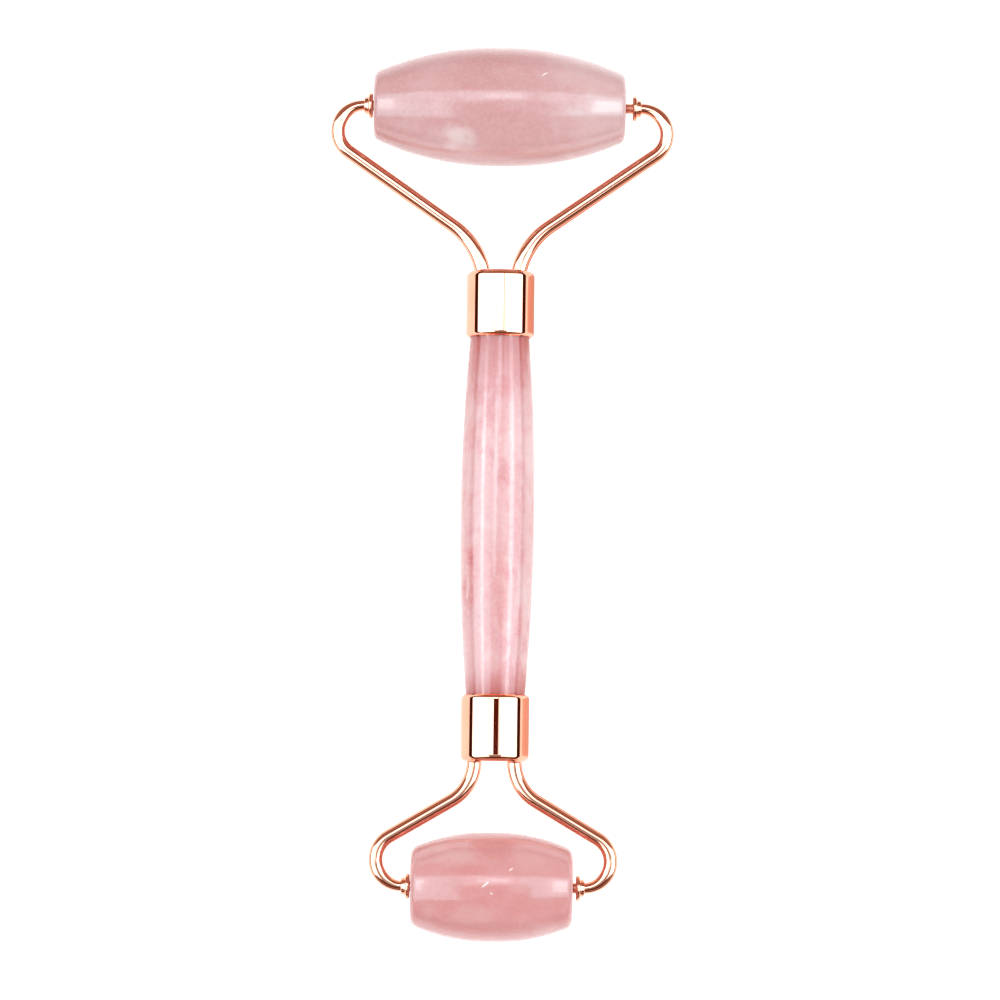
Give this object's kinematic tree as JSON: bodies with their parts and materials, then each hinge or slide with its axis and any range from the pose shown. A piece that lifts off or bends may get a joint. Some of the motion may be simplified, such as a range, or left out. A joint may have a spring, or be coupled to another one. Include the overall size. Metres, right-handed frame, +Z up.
{
  "type": "face roller",
  "caption": "Double-ended stone face roller: barrel rollers turning in bent wire forks at each end of a slim stone handle with metal ferrules.",
  "frame": {"origin": "centre of the footprint, on the surface that the two rollers lie on", "axes": "+Z up from that surface; the handle runs along Y with the large roller at +Y; both rollers turn about X, and the forks are seen flat from +Z"},
  "size_m": [0.056, 0.1454, 0.0194],
  "materials": {
    "roller_stone": "polished",
    "handle_stone": "polished",
    "plated_metal": "polished",
    "nylon": "satin",
    "adhesive": "satin"
  },
  "bodies": {
    "frame": {"handle": "handle_stone", "large_ferrule": "plated_metal", "small_ferrule": "plated_metal", "large_left_arm": "plated_metal", "large_right_arm": "plated_metal", "small_left_arm": "plated_metal", "small_right_arm": "plated_metal", "large_left_collar": "plated_metal", "large_right_collar": "plated_metal", "small_left_collar": "plated_metal", "small_right_collar": "plated_metal", "large_adhesive_plug": "adhesive", "small_adhesive_plug": "adhesive"},
    "large_roller": {"large_roller": "roller_stone", "large_left_bush": "nylon", "large_right_bush": "nylon"},
    "small_roller": {"small_roller": "roller_stone", "small_left_bush": "nylon", "small_right_bush": "nylon"}
  },
  "joints": [
    {"name": "large_roller_spin", "type": "hinge", "parent": "frame", "child": "large_roller", "pos_m": [0, 0.06304, 0.0097], "axis": [1, 0, 0], "continuous": true},
    {"name": "small_roller_spin", "type": "hinge", "parent": "frame", "child": "small_roller", "pos_m": [0, -0.0639, 0.00884], "axis": [1, 0, 0], "continuous": true}
  ]
}
